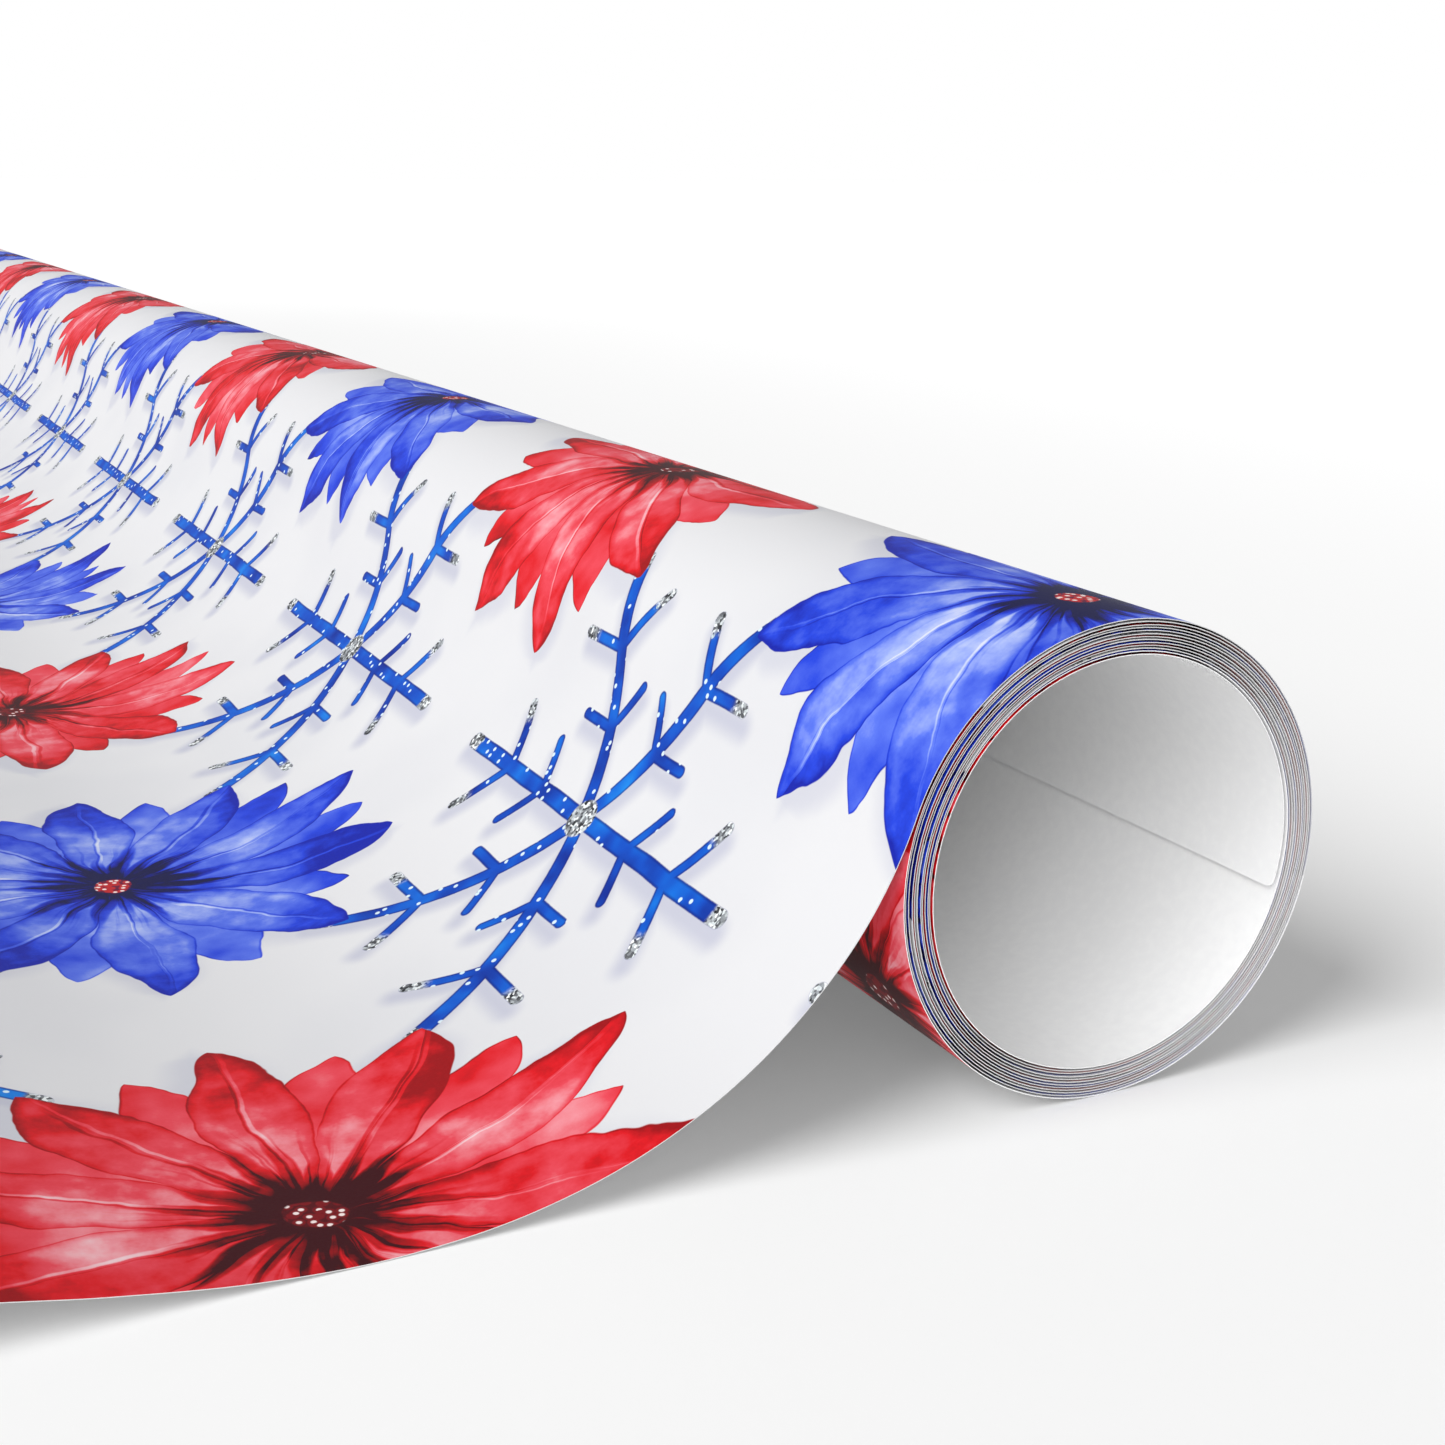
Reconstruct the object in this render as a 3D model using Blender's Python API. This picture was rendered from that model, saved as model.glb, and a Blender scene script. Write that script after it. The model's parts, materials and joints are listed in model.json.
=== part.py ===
"""Coreless roll of printed wrapping paper with its outer end drawn off.

One sheet of paper is wound on itself without a tube.  The roll lies on its
side along X.  Seen from its +X end the sheet comes off over the top towards
-Y, drops to the ground and runs out to its free edge.

The sheet is divided where it flexes: every turn of the coil is one solid
(coil_wrap_01 is the innermost, coil_wrap_12 the outermost), the loose inner
end is another, and the drawn-off leader is a row of narrow strips that hinge
on one another along lines parallel to X.

Frame: metres, +Z up.  The origin is on the ground under the coil, at
mid-width, on the flat the coil rests on.
"""
import math

import bmesh
import bpy

MM = 0.001

# driving dimensions, millimetres
SHEET_WIDTH = 762.0        # roll length along X
PAPER = 0.11               # sheet thickness
COIL_RADIUS = 22.0         # mid-surface radius where the leader leaves the coil
TURN_PITCH = 0.258         # radial growth per turn: paper plus the air between turns
TURNS = 12                 # full turns in the coil
FACETS = 48                # flats per turn
ROOT_FACET = 34            # flats from the coil's lowest flat, over the top, to the leader root
INNER_TAIL = 12            # further flats carried by the innermost turn
INNER_FACETS = 12          # flats in the loose inner end
LEADER_LENGTH = 129.0      # leader root to free edge
STRIPS = 12                # hinged strips in the leader
SEAM_GAP = 0.30            # clear slit between neighbouring solids
GROUND_CLEARANCE = 0.05    # leader above the ground where it lies lowest

# leader shape: angle below horizontal along its length
SWEEP_LENGTH = 82.0        # leader root to the steepest rise behind the low line
RISE_ANGLE = -11.0         # angle there: the sheet is rising gently
SWEEP_POWER = 1.2          # above 1 keeps the sheet steep for longer near the coil

STEP = 2.0 * math.pi / FACETS


def coil_radius(j):
    """Mid-surface radius at flat boundary j, counted inward from the leader root."""
    return COIL_RADIUS - TURN_PITCH * j / FACETS


def levelling_angle():
    """Turn that makes the lowest outer flat of the growing spiral level."""
    a, b = coil_radius(ROOT_FACET), coil_radius(ROOT_FACET + 1)
    return math.atan((a - b) / (a + b) / math.tan(STEP / 2.0))


LEVEL = levelling_angle()
ROOT_ANGLE = -math.pi / 2.0 + STEP / 2.0 + ROOT_FACET * STEP + LEVEL
AXIS_HEIGHT = coil_radius(ROOT_FACET) * math.cos(STEP / 2.0 + LEVEL) + PAPER / 2.0


def coil_point(j):
    """(y, z) of the mid-surface at flat boundary j."""
    r, t = coil_radius(j), ROOT_ANGLE - STEP * j
    return (r * math.cos(t), AXIS_HEIGHT + r * math.sin(t))


def leader_angle(s, root, end):
    """Angle below horizontal (towards -Y) at distance s from the leader root."""
    if s < SWEEP_LENGTH:
        t = math.sin(0.5 * math.pi * s / SWEEP_LENGTH) ** SWEEP_POWER
        return root + (RISE_ANGLE - root) * t
    return RISE_ANGLE + (end - RISE_ANGLE) * (s - SWEEP_LENGTH) / (LEADER_LENGTH - SWEEP_LENGTH)


def leader_points(root, end):
    """Strip boundaries of the leader from its root outwards, as (y, z)."""
    pts = [coil_point(0)]
    length = LEADER_LENGTH / STRIPS
    for k in range(STRIPS):
        a = math.radians(leader_angle((k + 0.5) * length, root, end))
        y, z = pts[-1]
        pts.append((y - length * math.cos(a), z - length * math.sin(a)))
    return pts


def settle(measure, low, high):
    """Value between low and high where a rising measure crosses zero."""
    for _ in range(60):
        mid = 0.5 * (low + high)
        if measure(mid) > 0.0:
            high = mid
        else:
            low = mid
    return 0.5 * (low + high)


def leader_profile():
    """Leader that lies on the ground at its low line and at its free edge."""
    lie = PAPER / 2.0 + GROUND_CLEARANCE
    low_line = STRIPS * 3 // 4
    root = settle(lambda a: lie - min(p[1] for p in leader_points(a, 0.0)[:low_line + 1]), 40.0, 85.0)
    end = settle(lambda a: lie - leader_points(root, a)[-1][1], -11.0, 60.0)
    return leader_points(root, end)


def shorten(pts, at_start, at_end):
    """Polyline trimmed at its two ends."""
    def cut(a, b, d):
        n = math.hypot(b[0] - a[0], b[1] - a[1])
        return (a[0] + (b[0] - a[0]) * d / n, a[1] + (b[1] - a[1]) * d / n)
    out = list(pts)
    if at_start > 0.0:
        out[0] = cut(pts[0], pts[1], at_start)
    if at_end > 0.0:
        out[-1] = cut(pts[-1], pts[-2], at_end)
    return out


def offset(pts, d):
    """Polyline moved sideways by d, with mitred corners."""
    out = []
    n = len(pts)
    for i, p in enumerate(pts):
        dirs = []
        if i > 0:
            dirs.append((p[0] - pts[i - 1][0], p[1] - pts[i - 1][1]))
        if i < n - 1:
            dirs.append((pts[i + 1][0] - p[0], pts[i + 1][1] - p[1]))
        normals = [(-b / math.hypot(a, b), a / math.hypot(a, b)) for a, b in dirs]
        ny = sum(v[0] for v in normals) / len(normals)
        nz = sum(v[1] for v in normals) / len(normals)
        scale = d / (ny * ny + nz * nz)
        out.append((p[0] + ny * scale, p[1] + nz * scale))
    return out


def paper_material(name, color):
    mat = bpy.data.materials.new(name)
    mat.use_nodes = True
    bsdf = mat.node_tree.nodes["Principled BSDF"]
    bsdf.inputs["Base Color"].default_value = (*color, 1.0)
    bsdf.inputs["Roughness"].default_value = 0.55
    bsdf.inputs["Metallic"].default_value = 0.0
    mat.diffuse_color = (*color, 1.0)
    return mat


def sheet(name, pts, pivot, color, parent=None):
    """Closed band of paper: the polyline thickened and drawn out along X.

    The object's origin is the line it turns on, pivot, at mid-width."""
    side_a = offset(pts, PAPER / 2.0)
    side_b = offset(pts, -PAPER / 2.0)
    loop = side_a + side_b[::-1]
    n = len(loop)
    count = len(pts)
    bm = bmesh.new()
    rings = []
    for x in (-SHEET_WIDTH / 2.0, SHEET_WIDTH / 2.0):
        rings.append([bm.verts.new((x * MM, (y - pivot[0]) * MM, (z - pivot[1]) * MM)) for y, z in loop])
    for i in range(n):
        k = (i + 1) % n
        bm.faces.new((rings[0][i], rings[0][k], rings[1][k], rings[1][i]))
    for ring in rings:
        for i in range(count - 1):
            bm.faces.new((ring[i], ring[i + 1], ring[n - 2 - i], ring[n - 1 - i]))
    bmesh.ops.recalc_face_normals(bm, faces=bm.faces)
    mesh = bpy.data.meshes.new(name)
    bm.to_mesh(mesh)
    bm.free()
    mesh.shade_smooth()
    mesh.set_sharp_from_angle(angle=math.radians(30.0))
    mesh.materials.append(paper_material(name + "_paper", color))
    obj = bpy.data.objects.new(name, mesh)
    bpy.context.scene.collection.objects.link(obj)
    obj.location = (0.0, pivot[0] * MM, pivot[1] * MM)
    if parent is not None:
        obj.parent = parent
        obj.location = (0.0, pivot[0] * MM - parent["pivot_y"], pivot[1] * MM - parent["pivot_z"])
    obj["pivot_y"] = pivot[0] * MM
    obj["pivot_z"] = pivot[1] * MM
    return obj


for old in list(bpy.data.objects):
    bpy.data.objects.remove(old, do_unlink=True)

AXIS = (0.0, AXIS_HEIGHT)
WHITE = (0.86, 0.86, 0.88)

# coil, outermost turn first; each inner turn slides along X inside the one outside it
outer = None
for turn in range(TURNS):
    first = turn * FACETS
    last = first + FACETS + (INNER_TAIL if turn == TURNS - 1 else 0)
    pts = [coil_point(j) for j in range(first, last + 1)]
    band = shorten(pts, SEAM_GAP / 2.0, SEAM_GAP / 2.0)
    tint = tuple(c - 0.01 * (turn % 2) for c in WHITE)
    outer = sheet("coil_wrap_%02d" % (TURNS - turn), band, AXIS, tint, outer)
    if turn == 0:
        coil = outer

# loose inner end, hinged to the innermost turn along the line where it begins
first = TURNS * FACETS + INNER_TAIL
pts = [coil_point(j) for j in range(first, first + INNER_FACETS + 1)]
sheet("inner_free_end", shorten(pts, SEAM_GAP / 2.0, 0.0), coil_point(first), WHITE, outer)

# leader strips, each hinged to the one before it
profile = leader_profile()
carrier = coil
for k in range(STRIPS):
    band = shorten(profile[k:k + 2], SEAM_GAP / 2.0, SEAM_GAP / 2.0 if k < STRIPS - 1 else 0.0)
    tint = tuple(c - 0.012 * (k % 2) for c in WHITE)
    carrier = sheet("leader_strip_%02d" % (k + 1), band, profile[k], tint, carrier)
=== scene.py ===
"""Looks of the coreless wrapping paper roll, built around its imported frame.

The sheet is remade as smooth, thin paper: every half turn of the coil and
every bend of the drawn-off leader is a fine mesh with a printed outer face, a
plain back and white cut edges.  The print lives in the sheet's own
coordinates (x along the roll, s along the web), so it runs unbroken from
piece to piece and stays put when the sheet bends or telescopes.
"""
import json
import math

import bpy
import numpy as np
from mathutils import Matrix, Vector


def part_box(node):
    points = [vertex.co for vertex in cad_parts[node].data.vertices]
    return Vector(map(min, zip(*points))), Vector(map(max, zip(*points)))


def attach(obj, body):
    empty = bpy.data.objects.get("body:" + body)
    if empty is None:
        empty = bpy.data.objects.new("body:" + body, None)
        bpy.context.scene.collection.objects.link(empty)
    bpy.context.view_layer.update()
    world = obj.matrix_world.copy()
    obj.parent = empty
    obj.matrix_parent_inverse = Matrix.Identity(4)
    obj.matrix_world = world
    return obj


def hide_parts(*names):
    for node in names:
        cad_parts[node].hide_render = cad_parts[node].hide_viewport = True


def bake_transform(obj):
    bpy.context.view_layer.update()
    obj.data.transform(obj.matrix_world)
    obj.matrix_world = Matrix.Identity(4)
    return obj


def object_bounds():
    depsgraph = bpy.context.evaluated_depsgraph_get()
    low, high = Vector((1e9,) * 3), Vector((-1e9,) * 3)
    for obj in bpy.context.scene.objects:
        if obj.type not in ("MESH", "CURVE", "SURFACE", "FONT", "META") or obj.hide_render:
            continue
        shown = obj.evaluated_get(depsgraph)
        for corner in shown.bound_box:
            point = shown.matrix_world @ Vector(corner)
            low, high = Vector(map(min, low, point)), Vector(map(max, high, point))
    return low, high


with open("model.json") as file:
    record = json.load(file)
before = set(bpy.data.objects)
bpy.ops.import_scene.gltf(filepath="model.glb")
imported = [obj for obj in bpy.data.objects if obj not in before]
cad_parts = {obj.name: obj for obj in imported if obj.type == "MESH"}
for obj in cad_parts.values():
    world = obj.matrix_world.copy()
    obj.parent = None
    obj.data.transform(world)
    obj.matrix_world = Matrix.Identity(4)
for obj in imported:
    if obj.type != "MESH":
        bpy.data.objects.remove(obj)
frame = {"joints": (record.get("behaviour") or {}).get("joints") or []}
CAD_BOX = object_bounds()
MM = 0.001

# ---------------------------------------------------------------- the sheet
HALF_WIDTH = max(abs(CAD_BOX[0][0]), abs(CAD_BOX[1][0])) / MM
PAPER = 0.11
SHEET = 0.075                                    # thickness drawn; the rest is air between sheet and tolerance
COIL_RADIUS = 22.0
TURN_PITCH = 0.258
TURNS = 12
FACETS = 48
ROOT_FACET = 34
STEP = 2.0 * math.pi / FACETS
SAGITTA = COIL_RADIUS * (1.0 - math.cos(STEP / 2.0))

HINGES = {j["name"]: j for j in frame["joints"]}
LEADER = [(HINGES["leader_bend_%02d" % k]["pos_m"][1] / MM, HINGES["leader_bend_%02d" % k]["pos_m"][2] / MM)
          for k in range(1, 13)]
_lo, _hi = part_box("leader_strip_12")
LEADER.append((_lo[1] / MM + 0.02, _lo[2] / MM + PAPER / 2.0))
LEADER = np.array(LEADER)
STRIPS = len(LEADER) - 1


def radius_at(turn):
    """Mid-surface radius after winding inward by a number of turns from the leader root."""
    return COIL_RADIUS - TURN_PITCH * turn


_a, _b = radius_at(ROOT_FACET / FACETS), radius_at((ROOT_FACET + 1) / FACETS)
LEVEL = math.atan((_a - _b) / (_a + _b) / math.tan(STEP / 2.0))
ROOT_ANGLE = -math.pi / 2.0 + STEP / 2.0 + ROOT_FACET * STEP + LEVEL
AXIS_Z = _a * math.cos(STEP / 2.0 + LEVEL) + PAPER / 2.0


def ripple(turn):
    """Small uneven tightness of the winding, mm."""
    a = turn * 2.0 * math.pi
    return 0.014 * math.sin(1.7 * a + 0.6) + 0.011 * math.sin(2.93 * a + 2.1) + 0.006 * math.sin(5.31 * a)


def creep(s):
    """How far the cut edge wanders along X as the web is wound, mm."""
    return 0.05 * math.sin(s / 31.0) + 0.035 * math.sin(s / 12.3 + 1.0) + 0.05 * math.sin(s / 173.0 + 0.5)


def coil_curve(turn):
    """(y, z) of the smooth mid-surface after winding inward by a number of turns."""
    fade = min(1.0, max(0.0, turn / 0.06))
    r = radius_at(turn) - SAGITTA * fade + ripple(turn) * min(1.0, turn / 0.2)
    a = ROOT_ANGLE - 2.0 * math.pi * turn
    return (r * math.cos(a), AXIS_Z + r * math.sin(a))


def hermite(p0, p1, t0, t1, t):
    h00 = 2 * t ** 3 - 3 * t ** 2 + 1
    h10 = t ** 3 - 2 * t ** 2 + t
    h01 = -2 * t ** 3 + 3 * t ** 2
    h11 = t ** 3 - t ** 2
    return h00 * p0 + h10 * t0 + h01 * p1 + h11 * t1


_tan = np.gradient(LEADER, axis=0)
_seg = float(np.linalg.norm(LEADER[1] - LEADER[0]))
STRIP_TURN = _seg / (2.0 * math.pi * COIL_RADIUS)              # one strip's length in turns of the coil
LEAVE = -0.3                                                   # where the sheet lifts off the coil, in strips


def leader_curve(q):
    """(y, z) of the smooth leader at q strips from its root."""
    if q < 1.0:
        c0, c1 = np.array(coil_curve(-LEAVE * STRIP_TURN)), np.array(coil_curve(-LEAVE * STRIP_TURN + 1e-4))
        reach = np.linalg.norm(LEADER[1] - c0)
        t0 = (c0 - c1) / np.linalg.norm(c0 - c1) * reach
        t1 = _tan[1] / np.linalg.norm(_tan[1]) * reach
        p = hermite(c0, LEADER[1], t0, t1, (q - LEAVE) / (1.0 - LEAVE))
    else:
        i = min(int(q), STRIPS - 1)
        p = hermite(LEADER[i], LEADER[i + 1], _tan[i], _tan[i + 1], q - i)
    return (float(p[0]), max(float(p[1]), PAPER / 2.0 + 0.02))


def arc_length(points):
    p = np.array(points)
    return np.concatenate([[0.0], np.cumsum(np.linalg.norm(np.diff(p, axis=0), axis=1))])


# arc length along the web: 0 at the leader root, negative into the coil
_ct = np.linspace(0.0, TURNS + 0.55, int((TURNS + 0.55) * 240) + 1)
_cs = -arc_length([coil_curve(t) for t in _ct])
_lq = np.linspace(LEAVE, STRIPS, STRIPS * 24 + 1)
_ls = arc_length([leader_curve(q) for q in _lq]) + float(np.interp(-LEAVE * STRIP_TURN, _ct, _cs))


def coil_s(turn):
    return float(np.interp(turn, _ct, _cs))


def leader_s(q):
    return float(np.interp(q, _lq, _ls))


# --------------------------------------------------------- node expressions
class Val:
    """A scalar in a shader, with ordinary arithmetic."""

    def __init__(self, net, socket):
        self.net, self.socket = net, socket

    def __add__(self, o): return self.net.op("ADD", self, o)
    def __radd__(self, o): return self.net.op("ADD", o, self)
    def __sub__(self, o): return self.net.op("SUBTRACT", self, o)
    def __rsub__(self, o): return self.net.op("SUBTRACT", o, self)
    def __mul__(self, o): return self.net.op("MULTIPLY", self, o)
    def __rmul__(self, o): return self.net.op("MULTIPLY", o, self)
    def __truediv__(self, o): return self.net.op("DIVIDE", self, o)
    def __rtruediv__(self, o): return self.net.op("DIVIDE", o, self)
    def __neg__(self): return self.net.op("MULTIPLY", self, -1.0)


class Net:
    def __init__(self, tree):
        self.tree = tree
        self.count = 0

    def node(self, kind):
        n = self.tree.nodes.new(kind)
        n.location = ((self.count % 40) * 180, -(self.count // 40) * 220)
        self.count += 1
        return n

    def put(self, socket, value):
        if isinstance(value, Val):
            self.tree.links.new(value.socket, socket)
        elif isinstance(value, bpy.types.NodeSocket):
            self.tree.links.new(value, socket)
        else:
            socket.default_value = value

    def op(self, kind, *args, clamp=False):
        n = self.node("ShaderNodeMath")
        n.operation = kind
        n.use_clamp = clamp
        for i, a in enumerate(args):
            self.put(n.inputs[i], a)
        return Val(self, n.outputs[0])

    def sqrt(self, a): return self.op("SQRT", a)
    def sin(self, a): return self.op("SINE", a)
    def cos(self, a): return self.op("COSINE", a)
    def abs(self, a): return self.op("ABSOLUTE", a)
    def floor(self, a): return self.op("FLOOR", a)
    def power(self, a, b): return self.op("POWER", a, b)
    def min(self, a, b): return self.op("MINIMUM", a, b)
    def max(self, a, b): return self.op("MAXIMUM", a, b)
    def madd(self, a, b, c): return self.op("MULTIPLY_ADD", a, b, c)
    def clamp(self, a): return self.op("ADD", a, 0.0, clamp=True)
    def greater(self, a, b): return self.op("GREATER_THAN", a, b)
    def mod(self, a, b): return self.op("FLOORED_MODULO", a, b)

    def mix(self, a, b, t):
        """a at t 0, b at t 1."""
        if not isinstance(a, Val) and not isinstance(b, Val):
            return self.madd(t, b - a, a)
        return self.madd(b - a, t, a)

    def step(self, a, lo, hi, out_lo=0.0, out_hi=1.0):
        """Smooth step of a from lo to hi."""
        n = self.node("ShaderNodeMapRange")
        n.interpolation_type = "SMOOTHSTEP"
        self.put(n.inputs["Value"], a)
        for key, v in (("From Min", lo), ("From Max", hi), ("To Min", out_lo), ("To Max", out_hi)):
            self.put(n.inputs[key], v)
        return Val(self, n.outputs["Result"])

    def vec(self, x, y, z=0.0):
        n = self.node("ShaderNodeCombineXYZ")
        self.put(n.inputs[0], x)
        self.put(n.inputs[1], y)
        self.put(n.inputs[2], z)
        return n.outputs[0]

    def noise(self, vector, scale, detail=2.0, rough=0.5, dims="2D"):
        n = self.node("ShaderNodeTexNoise")
        n.noise_dimensions = dims
        self.put(n.inputs["Vector"], vector)
        n.inputs["Scale"].default_value = scale
        n.inputs["Detail"].default_value = detail
        n.inputs["Roughness"].default_value = rough
        return Val(self, n.outputs["Fac"])

    def white(self, vector):
        n = self.node("ShaderNodeTexWhiteNoise")
        n.noise_dimensions = "3D"
        self.put(n.inputs["Vector"], vector)
        return Val(self, n.outputs["Value"])

    def voronoi(self, vector, scale):
        n = self.node("ShaderNodeTexVoronoi")
        n.voronoi_dimensions = "2D"
        self.put(n.inputs["Vector"], vector)
        n.inputs["Scale"].default_value = scale
        sep = self.node("ShaderNodeSeparateColor")
        self.tree.links.new(n.outputs["Color"], sep.inputs[0])
        return Val(self, n.outputs["Distance"]), Val(self, sep.outputs[0])

    def ramp(self, fac, stops):
        n = self.node("ShaderNodeValToRGB")
        self.put(n.inputs[0], fac)
        el = n.color_ramp.elements
        while len(el) < len(stops):
            el.new(0.5)
        for e, (pos, col) in zip(el, stops):
            e.position = pos
            e.color = (*linear(col), 1.0)
        return n.outputs["Color"]

    def blend(self, a, b, t, mode="MIX"):
        """Colour a at t 0, b at t 1; a and b are sockets or sRGB triples."""
        n = self.node("ShaderNodeMix")
        n.data_type = "RGBA"
        n.blend_type = mode
        n.clamp_factor = True
        self.put(n.inputs[0], t)
        for sock, c in ((n.inputs[6], a), (n.inputs[7], b)):
            if isinstance(c, tuple):
                sock.default_value = (*linear(c), 1.0)
            else:
                self.tree.links.new(c, sock)
        return n.outputs[2]


def linear(c):
    return tuple(v / 12.92 if v <= 0.04045 else ((v + 0.055) / 1.055) ** 2.4 for v in c)


# -------------------------------------------------------------- the print
# Flowers stand on a lattice, alternately blue and red, with a snowflake in
# the middle of every four.
PITCH_X = 82.4
PITCH_S = 88.9
FLOWER_X = 371.6
FLOWER_S = -30.9
PETALS = 10                                                    # front petals of a flower
PAPER_WHITE = (0.896, 0.896, 0.905)
PAPER_SHADE = (0.882, 0.883, 0.895)


def fold(net, x, y, count, turn=0.0):
    """Fold a point about a centre into one of a count of arms: (along the arm, across it, arm number, radius, angle)."""
    part = 2.0 * math.pi / count
    r = net.sqrt(x * x + y * y)
    a = net.op("ARCTAN2", y, x)
    if turn:
        a = a - turn
    arm = net.floor(a / part + 0.5)
    local = a - arm * part
    return r * net.cos(local), r * net.sin(local), net.mod(arm, float(count)), r, a


def leaf(net, p, q, start, end, width, skew=1.4, power=0.62):
    """A pointed leaf between two points: (signed distance, distance from its midrib, place along it).

    Coordinates of the points and the width may be numbers or shader values."""
    (ax, ay), (bx, by) = start, end
    dx, dy = bx - ax, by - ay
    if isinstance(dx, Val) or isinstance(dy, Val):
        length = net.sqrt(dx * dx + dy * dy)
        ux, uy = dx / length, dy / length
    else:
        length = math.hypot(dx, dy)
        ux, uy = dx / length, dy / length
    rx, ry = p - ax, q - ay
    t = (rx * ux + ry * uy) / length
    h = net.abs(rx * uy - ry * ux)
    tc = net.clamp(t)
    peak = net.power(tc, skew) * 2.0 - 1.0
    shape = net.power(net.max(1.0 - peak * peak, 0.0), power)
    d = h - shape * width + net.abs(t - tc) * length
    return d, h, tc


def bar(net, p, q, start, end, half, taper=1.0):
    """A round-ended stroke: (signed distance, place along it)."""
    (ax, ay), (bx, by) = start, end
    dx, dy = bx - ax, by - ay
    if isinstance(dx, Val) or isinstance(dy, Val):
        l2 = dx * dx + dy * dy
    else:
        l2 = dx * dx + dy * dy
    rx, ry = p - ax, q - ay
    t = net.clamp((rx * dx + ry * dy) / l2)
    ex, ey = rx - t * dx, ry - t * dy
    width = half if taper == 1.0 else net.mix(half, half * taper, t)
    return net.sqrt(ex * ex + ey * ey) - width, t


def flower_leaves(net, p, q, arm, seed):
    """The front petals of a plain daisy, all alike: (distance, distance from the midrib, place along it, base tone, how far the tip deepens)."""
    rnd = net.white(net.vec(seed, arm, 3.7)) - 0.5
    return [(*leaf(net, p, q, (1.0, 0.0), (33.0 + rnd * 3.0, rnd * 1.5), 4.9, 1.3, 0.8), 0.42, 0.26)]


def print_nodes(net):
    """The printed face: (colour, ink amount, coordinates in mm)."""
    uv = net.node("ShaderNodeUVMap")
    uv.uv_map = "print"
    sep = net.node("ShaderNodeSeparateXYZ")
    net.tree.links.new(uv.outputs[0], sep.inputs[0])
    u0 = Val(net, sep.outputs[0]) * 1000.0
    v0 = Val(net, sep.outputs[1]) * 1000.0
    raw = net.vec(u0, v0)

    # the hand-drawn wobble of every outline
    wob_a = net.noise(raw, 0.085, 1.0)
    wob_b = net.noise(net.vec(u0 + 311.0, v0 - 97.0), 0.085, 1.0)
    fine = net.noise(raw, 0.42, 1.0)
    u = u0 + (wob_a - 0.5) * 3.4 + (fine - 0.5) * 0.5
    v = v0 + (wob_b - 0.5) * 3.4 + (fine - 0.5) * 0.4

    # nearest flower
    fu = (u - FLOWER_X) / PITCH_X
    fv = (v - FLOWER_S) / PITCH_S
    iu = net.floor(fu + 0.5)
    iv = net.floor(fv + 0.5)
    fx = (fu - iu) * PITCH_X
    fy = (fv - iv) * PITCH_S
    parity = net.mod(iu + iv, 2.0)
    seed = net.madd(iv, 7.13, iu)

    wash = net.noise(raw, 0.075, 3.0, 0.6) - 0.5
    wash_fine = net.noise(raw, 0.34, 3.0, 0.6) - 0.5
    grain = net.noise(raw, 2.4, 2.0, 0.6)

    p, q, arm, r, ang = fold(net, fx, fy, PETALS)
    leaves = flower_leaves(net, p, q, arm, seed)

    # a paler ring behind, between the front petals
    p2, q2, arm2, _, _ = fold(net, fx, fy, PETALS, math.pi / PETALS)
    rnd3 = net.white(net.vec(seed, arm2, 5.3))
    back_d, back_h, back_t = leaf(net, p2, q2, (1.0, 0.0), (net.madd(rnd3, 3.0, 28.0), 0.0), 4.3, 1.3, 0.8)
    tone = 0.42 + wash * 1.0 + net.step(back_d, -0.34, -0.05) * 0.22 + net.step(back_t, 0.5, 1.0) * 0.15
    cover = net.max(net.step(back_d, 0.09, -0.09), net.step(r, 6.0, 5.7))

    for (d, h, t, base, tipped), ident in zip(leaves, (1.3, 2.9, 4.1, 6.7, 8.3)):
        side = net.greater(q, 0.0)
        rnd = net.white(net.vec(seed + ident, arm * 2.0 + side, ident))
        tn = net.madd(rnd, 0.24, base - 0.12) + wash * 1.0 + wash_fine * 0.32
        tn = tn + net.step(t, 0.45, 0.95) * tipped
        tn = tn + net.step(d, -1.3, 0.0) * 0.16                       # pigment gathers towards the outline
        tn = tn + net.step(d, -0.30, -0.06) * 0.15                    # and dries there as a thin line
        tn = tn + net.step(h, 0.26, 0.08) * net.step(t, 0.95, 0.7) * 0.20   # midrib
        tn = net.min(tn, 0.84)
        m = net.step(d, 0.08, -0.08)
        tone = net.mix(tone, tn, m)
        cover = net.max(cover, m)

    # dark spears and fine veins running out from the centre
    spear, _, st = leaf(net, p, q, (1.2, 0.0), (net.madd(net.white(net.vec(seed, arm, 4.4)), 6.0, 12.0), 0.0), 1.0, 0.75, 0.8)
    spear2, _, st2 = leaf(net, p2, q2, (1.2, 0.0), (net.madd(rnd3, 6.0, 10.5), 0.0), 1.25, 0.75, 0.8)
    spears = net.max(net.step(spear, 0.12, -0.30) * net.step(st, 1.1, 0.3), net.step(spear2, 0.12, -0.30) * net.step(st2, 1.1, 0.3))
    vein_n = net.noise(net.vec(net.cos(ang) * 11.0 + seed * 3.1, net.sin(ang) * 11.0, r * 0.03), 1.0, 2.0, 0.6, dims="3D")
    veins = net.step(vein_n, 0.53, 0.64) * net.step(r, 2.0, 19.0, 1.0, 0.0)
    tone = tone + spears * 0.46 + veins * 0.28 + net.step(r, 6.0, 2.4) * 0.10
    # a light line beside the midrib of every petal, fading out towards the tip
    rib = net.step(net.abs(q - 0.42), 0.30, 0.12) * net.step(p, 6.0, 11.0) * net.step(p, 34.0, 26.0)
    tone = tone - rib * 0.20
    # painted shade: where a face lies between two turns, the flower print within 4 mm of the cut edges is inked
    # deeper, for the dim gaps between the turns
    att = net.node("ShaderNodeAttribute")
    att.attribute_name = "wound"
    tone = tone + Val(net, att.outputs["Fac"]) * net.step(net.abs(u0), HALF_WIDTH - 4.0, HALF_WIDTH - 0.6) * 0.22
    tone = net.clamp(tone + (grain - 0.5) * 0.05)

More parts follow.
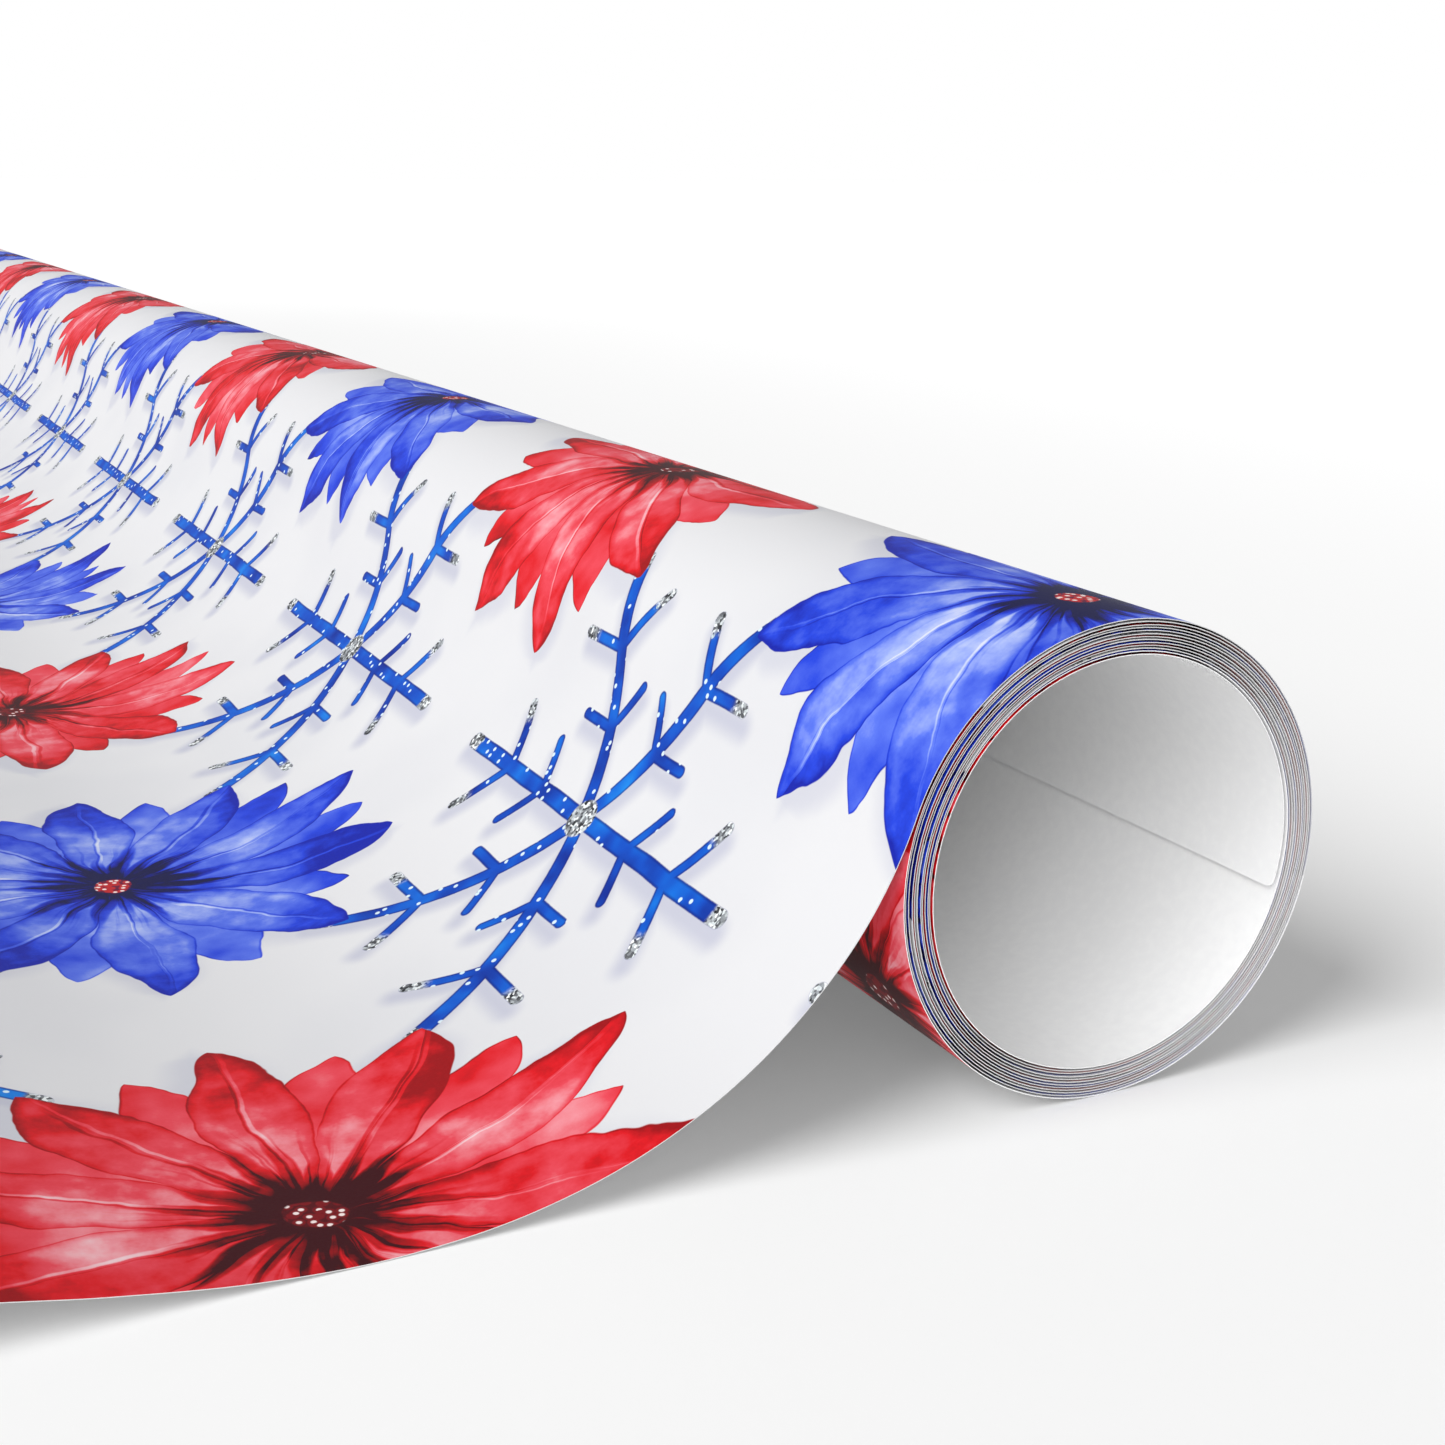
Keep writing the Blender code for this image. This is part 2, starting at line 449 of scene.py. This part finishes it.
    red = net.ramp(tone, [(0.0, (0.98, 0.84, 0.86)), (0.20, (0.97, 0.61, 0.65)), (0.42, (0.93, 0.29, 0.35)), (0.64, (0.88, 0.06, 0.11)), (0.84, (0.62, 0.01, 0.05)), (1.0, (0.24, 0.0, 0.04))])
    blue = net.ramp(tone, [(0.0, (0.87, 0.89, 0.98)), (0.20, (0.65, 0.72, 0.97)), (0.42, (0.35, 0.46, 0.92)), (0.64, (0.12, 0.26, 0.86)), (0.84, (0.04, 0.12, 0.66)), (1.0, (0.02, 0.03, 0.28))])
    flower = net.blend(blue, red, parity)

    # seed head
    bead_d, bead_r = net.voronoi(raw, 1.05)
    dark = net.blend((0.06, 0.03, 0.25), (0.26, 0.01, 0.05), parity)
    bead_col = net.blend((0.78, 0.13, 0.15), (0.50, 0.04, 0.08), parity)
    bead = net.blend(bead_col, (1.0, 0.93, 0.92), net.step(bead_d, 0.32, 0.18) * net.greater(bead_r, 0.42))
    bead = net.blend(bead, dark, net.step(bead_d, 0.48, 0.62) * 0.75)
    flower = net.blend(flower, dark, net.step(r, 3.3, 2.2) * 0.5)
    flower = net.blend(flower, bead, net.step(r, 2.35, 2.1))

    # nearest snowflake, half a step from the flowers both ways, with straighter outlines
    su = fu + 0.5
    sv = fv + 0.5
    ju = net.floor(su + 0.5)
    jv = net.floor(sv + 0.5)
    sx = (su - ju) * PITCH_X - (u - u0) * 0.88
    sy = (sv - jv) * PITCH_S - (v - v0) * 0.88
    flake, flake_d = snowflake(net, sx, sy, raw, u0, v0, net.madd(jv, 3.77, ju), grain)

    # soft shadows thrown on the paper by both motifs
    tint = net.max(flower_shadow(net, fx, fy) * 0.60, flake_shadow(net, sx, sy))
    paper_n = net.noise(raw, 0.03, 2.0)
    paper = net.blend(PAPER_WHITE, PAPER_SHADE, net.step(paper_n, 0.4, 0.65))
    paper = net.blend(paper, (0.68, 0.69, 0.79), tint * 0.55)

    flake_cover = net.step(flake_d, 0.09, -0.09)
    col = net.blend(paper, flake, flake_cover)
    col = net.blend(col, flower, cover)
    return col, net.max(cover, flake_cover), raw


def flake_strokes(net, p, q):
    """One folded arm of a plain six-armed snowflake: a shaft and two pairs of branches at sixty degrees."""
    aq = net.abs(q)
    shaft = bar(net, p, aq, (0.0, 0.0), (32.0, 0.0), 1.05)
    outer = bar(net, p, aq, (20.5, 0.0), (24.7, 7.3), 0.75)
    inner = bar(net, p, aq, (11.0, 0.0), (14.2, 5.5), 0.70)
    return shaft, outer, inner


def snowflake(net, x, y, raw, u0, v0, seed, grain):
    p, q, arm, r, ang = fold(net, x, y, 6)
    shaft, outer, inner = flake_strokes(net, p, q)
    dot_d, dot_r = net.voronoi(raw, 0.72)
    grit_d, grit_r = net.voronoi(net.vec(u0 + 17.0, v0), 3.1)
    zone = net.noise(net.vec(u0 + 70.0, v0 - 20.0), 0.15, 2.0)

    total = net.min(net.min(shaft[0], outer[0]), inner[0])
    silver = net.step(shaft[1], 0.94, 0.96) * net.step(shaft[0], 0.05, -0.05)
    silver = net.max(silver, net.step(outer[1], 0.66, 0.84) * net.step(outer[0], 0.05, -0.05))
    depth = net.madd(zone, 1.5, -0.36)
    body = net.ramp(depth, [(0.0, (0.0, 0.16, 0.58)), (0.35, (0.0, 0.30, 0.76)), (0.65, (0.01, 0.42, 0.85)), (1.0, (0.10, 0.58, 0.93))])
    body = net.blend(body, (0.0, 0.11, 0.48), net.step(total, -0.42, -0.06) * 0.75)
    dots = net.step(dot_d, 0.24, 0.15) * net.greater(dot_r, 0.72)
    body = net.blend(body, (0.90, 0.98, 1.0), dots * 0.9)
    grit = net.ramp(grit_r, [(0.0, (0.08, 0.08, 0.10)), (0.3, (0.40, 0.41, 0.43)), (0.6, (0.64, 0.66, 0.68)), (0.85, (0.88, 0.91, 0.92)), (1.0, (1.0, 1.0, 1.0))])
    hub = net.step(r, 2.45, 2.2)
    body = net.blend(body, grit, net.max(silver, hub))
    shape = net.min(total, r - 2.3) + (grain - 0.5) * 0.34 * net.max(silver, 0.15)
    return body, shape


def flower_shadow(net, fx, fy):
    """Soft shadow below and beside the petals, 0 to 1."""
    p, q, arm, r, ang = fold(net, fx - 0.7, fy - 1.5, PETALS)
    return net.step(leaf(net, p, q, (2.0, 0.0), (33.0, 0.0), 5.0, 1.3)[0], 2.6, -1.0)


def flake_shadow(net, x, y):
    p, q, arm, r, _ = fold(net, x - 0.8, y - 1.5, 6)
    shaft, outer, inner = flake_strokes(net, p, q)
    return net.step(net.min(net.min(shaft[0], outer[0]), inner[0]), 1.7, -0.7)


def paper_surface(net, bsdf, raw, ink=None, strength=1.0):
    """Fibre relief and satin finish of the sheet."""
    fibre = net.noise(raw, 3.2, 3.0, 0.65)
    cloud = net.noise(raw, 0.35, 2.0, 0.5)
    height = fibre * 0.7 + cloud * 0.3
    bump = net.node("ShaderNodeBump")
    bump.inputs["Strength"].default_value = 0.10 * strength
    bump.inputs["Distance"].default_value = 0.00006
    net.put(bump.inputs["Height"], height)
    net.tree.links.new(bump.outputs[0], bsdf.inputs["Normal"])
    rough = net.madd(fibre, 0.10, 0.50)
    if ink is not None:
        rough = rough - ink * 0.09
    net.put(bsdf.inputs["Roughness"], rough)
    bsdf.inputs["Specular IOR Level"].default_value = 0.16


def bounce(net, col, tint, wound):
    """The light a face throws on its surroundings is kept neutral, and dies away between the turns."""
    path = net.node("ShaderNodeLightPath")
    att = net.node("ShaderNodeAttribute")
    att.attribute_name = "wound"
    thrown = net.blend((tint, tint, tint), wound, Val(net, att.outputs["Fac"]))
    return net.blend(col, thrown, Val(net, path.outputs["Is Diffuse Ray"]))


def new_material(name):
    mat = bpy.data.materials.new(name)
    mat.use_nodes = True
    return mat, Net(mat.node_tree), mat.node_tree.nodes["Principled BSDF"]


def printed_material():
    mat, net, bsdf = new_material("printed_face")
    col, ink, raw = print_nodes(net)
    net.tree.links.new(bounce(net, col, 0.84, col), bsdf.inputs["Base Color"])
    paper_surface(net, bsdf, raw, ink)
    return mat


def back_material():
    mat, net, bsdf = new_material("paper_back")
    uv = net.node("ShaderNodeUVMap")
    uv.uv_map = "print"
    scaled = net.node("ShaderNodeVectorMath")
    scaled.operation = "SCALE"
    net.tree.links.new(uv.outputs[0], scaled.inputs[0])
    scaled.inputs["Scale"].default_value = 1000.0
    raw = scaled.outputs[0]
    flock = net.noise(raw, 0.9, 3.0, 0.6)
    cloud = net.noise(raw, 0.02, 2.0)
    col = net.blend((0.958, 0.958, 0.958), (0.944, 0.944, 0.946), net.step(flock * 0.6 + cloud * 0.4, 0.35, 0.65))
    net.tree.links.new(bounce(net, col, 0.95, (0.62, 0.62, 0.62)), bsdf.inputs["Base Color"])
    paper_surface(net, bsdf, raw, None, 0.45)
    return mat


def edge_material():
    mat, net, bsdf = new_material("paper_cut_edge")
    geo = net.node("ShaderNodeNewGeometry")
    scaled = net.node("ShaderNodeVectorMath")
    scaled.operation = "SCALE"
    net.tree.links.new(geo.outputs["Position"], scaled.inputs[0])
    scaled.inputs["Scale"].default_value = 1000.0
    n = net.noise(scaled.outputs[0], 4.0, 3.0, 0.7, dims="3D")
    col = net.blend((0.985, 0.985, 0.985), (0.93, 0.93, 0.935), net.step(n, 0.35, 0.7))
    net.tree.links.new(col, bsdf.inputs["Base Color"])
    bsdf.inputs["Roughness"].default_value = 0.75
    net.put(bsdf.inputs["Roughness"], net.madd(n, 0.2, 0.65))
    return mat


PRINTED = printed_material()
BACK = back_material()
EDGE = edge_material()

# ------------------------------------------------------------ the meshes


def x_stations(count):
    """Stations across the web, closer together near its two cut edges."""
    t = np.linspace(-1.0, 1.0, count)
    return HALF_WIDTH * np.sign(t) * (1.0 - (1.0 - np.abs(t)) ** 1.6)


def paper_band(name, points, lengths, stations, normal_ends=None, lift=None, wound=(0.0, 0.0)):
    """Thin closed sheet swept along X.

    points: (y, z) of the mid-surface running inward along the web, lengths: s at each point.
    The printed face is on the left of that direction, which is outward on the coil.
    normal_ends: points beyond the two ends, so that neighbours share their edges exactly.
    wound: 1 for a printed face, or a back, that lies against another turn."""
    p = np.array(points, float)
    n = len(p)
    tan = np.gradient(p, axis=0)
    if normal_ends is not None:
        before, after = normal_ends
        if before is not None:
            tan[0] = p[1] - np.array(before)
        if after is not None:
            tan[-1] = np.array(after) - p[-2]
    tan /= np.linalg.norm(tan, axis=1)[:, None]
    nor = np.stack([-tan[:, 1], tan[:, 0]], 1)
    m = len(stations)
    verts, uvs, tucked = [], [], []
    for side in (1.0, -1.0):
        for i in range(n):
            y, z = p[i] + nor[i] * side * SHEET / 2.0
            shift = creep(lengths[i])
            for x in stations:
                off = lift(x, i) if lift is not None else (0.0, 0.0, 0.0)
                verts.append(((x + shift + off[2]) * MM, (y + off[0]) * MM, (z + off[1]) * MM))
                uvs.append((x * MM, lengths[i] * MM))
                tucked.append(wound[0] if side > 0 else wound[1])

    def vid(side, i, j):
        return side * n * m + i * m + j

    faces, mats = [], []
    for i in range(n - 1):
        for j in range(m - 1):
            faces.append((vid(0, i, j), vid(0, i, j + 1), vid(0, i + 1, j + 1), vid(0, i + 1, j)))
            mats.append(0)
            faces.append((vid(1, i, j), vid(1, i + 1, j), vid(1, i + 1, j + 1), vid(1, i, j + 1)))
            mats.append(1)
    for i in range(n - 1):
        for j, flip in ((0, False), (m - 1, True)):
            f = (vid(0, i, j), vid(0, i + 1, j), vid(1, i + 1, j), vid(1, i, j))
            faces.append(f[::-1] if flip else f)
            mats.append(2)
    for j in range(m - 1):
        for i, flip in ((0, False), (n - 1, True)):
            f = (vid(0, i, j), vid(1, i, j), vid(1, i, j + 1), vid(0, i, j + 1))
            faces.append(f[::-1] if flip else f)
            mats.append(2)
    mesh = bpy.data.meshes.new(name)
    mesh.from_pydata(verts, [], faces)
    mesh.update()
    mesh.polygons.foreach_set("material_index", np.array(mats, np.int32))
    layer = mesh.uv_layers.new(name="print")
    idx = np.zeros(len(mesh.loops), np.int32)
    mesh.loops.foreach_get("vertex_index", idx)
    layer.data.foreach_set("uv", np.array(uvs, np.float32)[idx].ravel())
    mesh.attributes.new("wound", "FLOAT", "POINT").data.foreach_set("value", np.array(tucked, np.float32))
    for mat in (PRINTED, BACK, EDGE):
        mesh.materials.append(mat)
    mesh.shade_smooth()
    mesh.set_sharp_from_angle(angle=math.radians(35.0))
    obj = bpy.data.objects.new(name, mesh)
    bpy.context.scene.collection.objects.link(obj)
    return obj


def coil_piece(name, first, last, steps, stations, lift=None, wound=(0.0, 0.0)):
    """A stretch of the coil between two winding positions, in turns from the leader root."""
    ts = np.linspace(first, last, steps + 1)
    dt = (last - first) / steps
    pts = [coil_curve(t) for t in ts]
    before = coil_curve(first - dt) if first > 1e-9 else leader_curve(0.08)
    after = coil_curve(last + dt)
    return paper_band(name, pts, [coil_s(t) for t in ts], stations, (before, after), lift, wound)


def leader_piece(name, first, last, steps, stations):
    """A stretch of the leader, given in strips from its root; negative values lie on the coil."""
    qs = np.linspace(last, first, steps + 1)

    def at(q):
        if q < LEAVE:
            return coil_curve(-q * STRIP_TURN), coil_s(-q * STRIP_TURN)
        return leader_curve(q), leader_s(q)

    vals = [at(q) for q in qs]
    dq = (last - first) / steps
    before = at(last + dq)[0] if last + dq <= STRIPS else None
    after = at(first - dq)[0]
    return paper_band(name, [v[0] for v in vals], [v[1] for v in vals], stations, (before, after))


OUTER_X = x_stations(41)
INNER_X = x_stations(13)
HALF = 0.5


def point3(yz):
    return (0.0, yz[0] * MM, yz[1] * MM)


# the coil, outermost turn first.  Each turn is two halves: every lower half, and the upper half of the outermost
# turn, is fixed to its turn, while the upper halves of the inner turns are fixed to no turn.
ROOT_OVERLAP = 0.5 * STRIP_TURN                                # the first leader piece starts here on the coil
for k in range(TURNS):
    body = "coil_wrap_%02d" % (TURNS - k)
    stations = OUTER_X if k == 0 else INNER_X
    steps = 60 if k == 0 else 48
    start = ROOT_OVERLAP if k == 0 else float(k)
    wound = (float(k > 0), float(k < TURNS - 1))
    upper = coil_piece("turn_%02d_upper" % (TURNS - k), start, k + HALF, steps, stations, None, wound)
    lower = coil_piece("turn_%02d_lower" % (TURNS - k), k + HALF, k + 1.0, steps, stations, None, wound)
    if k == 0:
        OUTER_LOWER = lower
    if k == 0:
        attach(upper, body)
    else:
        point3(coil_curve(float(k)))
        point3(coil_curve(k + HALF))
        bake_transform(upper)
    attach(lower, body)
    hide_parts(body)
    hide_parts(body)

BORE = [upper, lower]
tail = coil_piece("turn_01_tail", float(TURNS), TURNS + 0.25, 24, x_stations(25), None, (1.0, 0.0))
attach(tail, "coil_wrap_01")
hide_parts("coil_wrap_01")


END_ROWS = 60
END_SPREAD = 0.75                                # rows crowd towards the free edge
END_TURNS = 0.262
END_LENGTH = abs(coil_s(TURNS + 0.25 + END_TURNS) - coil_s(TURNS + 0.25))


def end_place(i):
    """How far along the loose end row i lies, 0 to 1."""
    t = i / END_ROWS
    return (1.0 - END_SPREAD) * t + END_SPREAD * (1.0 - (1.0 - t) ** 2)


def end_lift(x, i):
    """The loose end stands a little off the turn behind it, most at its near corner, which is rounded."""
    t = end_place(i)
    corner = max(0.0, 1.0 - (HALF_WIDTH - x) / 18.0)
    rise = 0.10 * t * t + 0.22 * corner * corner * t ** 3
    a = ROOT_ANGLE - 2.0 * math.pi * (TURNS + 0.25 + END_TURNS * t)
    left = max(0.0, 0.8 - (1.0 - t) * END_LENGTH)
    inset = (0.8 - math.sqrt(max(0.0, 0.8 ** 2 - left ** 2))) * min(1.0, max(0.0, 1.0 - (HALF_WIDTH - x) / 4.0))
    return (-math.cos(a) * rise, -math.sin(a) * rise, -inset)


flap_turns = [TURNS + 0.25 + END_TURNS * end_place(i) for i in range(END_ROWS + 1)]
flap_points = [coil_curve(t) for t in flap_turns]
flap = paper_band("inner_end", flap_points, [coil_s(t) for t in flap_turns],
                  np.concatenate([x_stations(49)[:-1], HALF_WIDTH - np.array([0.9, 0.6, 0.35, 0.15, 0.0])]),
                  (coil_curve(TURNS + 0.25 - 0.25 / END_ROWS), None), end_lift, (1.0, 0.0))
BORE += [tail, flap]
point3(coil_curve(TURNS + 0.25))
point3(coil_curve(TURNS + 0.36))
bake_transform(flap)
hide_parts("inner_free_end")

# the leader: each piece spans one hinge, from the middle of one strip to the
# middle of the next, and follows the smooth curve of the leader across it
for k in range(STRIPS):
    b = "leader_strip_%02d" % (k + 1)
    piece = leader_piece("leader_%02d" % (k + 1), k - 0.5, k + 0.5, 16, OUTER_X)
    start = coil_curve(ROOT_OVERLAP) if k == 0 else leader_curve(k - 0.5)
    point3(start)
    point3(leader_curve(k + 0.5))
    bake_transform(piece)
    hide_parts(b)
end = leader_piece("leader_free_edge", STRIPS - 0.5, float(STRIPS), 8, OUTER_X)
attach(end, "leader_strip_12")
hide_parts("leader_strip_12")

# -------------------------------------------------------------- the stage
floor_mesh = bpy.data.meshes.new("floor")
E = 6.0
floor_mesh.from_pydata([(-E, -E, 0.0), (E, -E, 0.0), (E, E, 0.0), (-E, E, 0.0)], [], [(0, 1, 2, 3)])
floor = bpy.data.objects.new("floor", floor_mesh)
bpy.context.scene.collection.objects.link(floor)
floor.location.z = -0.00002
mat, net, bsdf = new_material("floor")
bsdf.inputs["Base Color"].default_value = (0.78, 0.78, 0.78, 1.0)
bsdf.inputs["Roughness"].default_value = 1.0
bsdf.inputs["Specular IOR Level"].default_value = 0.0
bsdf.inputs["Emission Color"].default_value = (1.0, 1.0, 1.0, 1.0)
geo = net.node("ShaderNodeNewGeometry")
place = net.node("ShaderNodeSeparateXYZ")
net.tree.links.new(geo.outputs["Position"], place.inputs[0])
beyond = net.max(net.abs(Val(net, place.outputs[0])) - HALF_WIDTH * MM, 0.0)
aside = Val(net, place.outputs[1])
away = net.sqrt(beyond * beyond + aside * aside)
# painted light: the floor glows, 0.10 beside the roll rising to 0.20 between 6 and 42 cm away, so that its
# shadows never go black and it fades to white in the distance
net.put(bsdf.inputs["Emission Strength"], net.step(away, 0.06, 0.42, 0.10, 0.20))
floor_mesh.materials.append(mat)

# a plain white room: fully white behind the object, a little softer as a light
world = bpy.data.worlds.new("studio")
bpy.context.scene.world = world
world.use_nodes = True
wt = world.node_tree
bg = wt.nodes["Background"]
bg.inputs["Color"].default_value = (1.0, 1.0, 1.0, 1.0)
path = wt.nodes.new("ShaderNodeLightPath")
level = wt.nodes.new("ShaderNodeMapRange")
level.inputs["To Min"].default_value = 0.38
level.inputs["To Max"].default_value = 1.0
wt.links.new(path.outputs["Is Camera Ray"], level.inputs["Value"])
wt.links.new(level.outputs["Result"], bg.inputs["Strength"])


def sun(name, direction, angle, power, only=(), never=()):
    """Soft distant light shining along a direction, on some objects only or on all but some."""
    data = bpy.data.lights.new(name, "SUN")
    data.angle = math.radians(angle)
    data.energy = power
    obj = bpy.data.objects.new(name, data)
    bpy.context.scene.collection.objects.link(obj)
    obj.rotation_euler = Vector(direction).to_track_quat("-Z", "Y").to_euler()
    if only or never:
        lit = bpy.data.collections.new(name + "_lit")
        for item in (*only, *never):
            lit.objects.link(item)
        for entry, item in zip(lit.collection_objects, (*only, *never)):
            entry.light_linking.link_state = "EXCLUDE" if item in never else "INCLUDE"
        obj.light_linking.receiver_collection = lit
    return obj


near = HALF_WIDTH * MM
# one soft light from the left, aimed higher for the sheet than for the floor
# so that the sheet is lit evenly and still throws a clear shadow
sun("key", (-0.22, 0.76, -0.74), 75.0, 2.35, never=(floor,))
sun("key_on_floor", (-0.16, 0.78, -0.62), 40.0, 3.45, only=(floor,))
# light reaching into the bore
sun("into_bore", (-0.85, 0.40, -0.35), 45.0, 1.15, only=(*BORE, OUTER_LOWER))

# ------------------------------------------------------------- the camera
cam_data = bpy.data.cameras.new("camera")
cam_data.sensor_width = 36.0
cam_data.lens = 50.66
cam_data.clip_start = 0.005
cam = bpy.data.objects.new("camera", cam_data)
bpy.context.scene.collection.objects.link(cam)
AZ, EL, ROLL = math.radians(-26.51), math.radians(15.54), math.radians(0.546)
cam.location = (near + 0.1343, -0.10556, AXIS_Z * MM + 0.05907)
fwd = Vector((-math.cos(EL) * math.cos(AZ), -math.cos(EL) * math.sin(AZ), -math.sin(EL)))
right = fwd.cross(Vector((0.0, 0.0, 1.0))).normalized()
up = right.cross(fwd)
right, up = right * math.cos(ROLL) + up * math.sin(ROLL), up * math.cos(ROLL) - right * math.sin(ROLL)
cam.matrix_world = Matrix.Translation(cam.location) @ Matrix((right, up, -fwd)).transposed().to_4x4()
bpy.context.scene.camera = cam

bpy.context.scene.view_settings.view_transform = "Standard"
bpy.context.scene.view_settings.look = "None"
bpy.context.scene.view_settings.exposure = 0.0
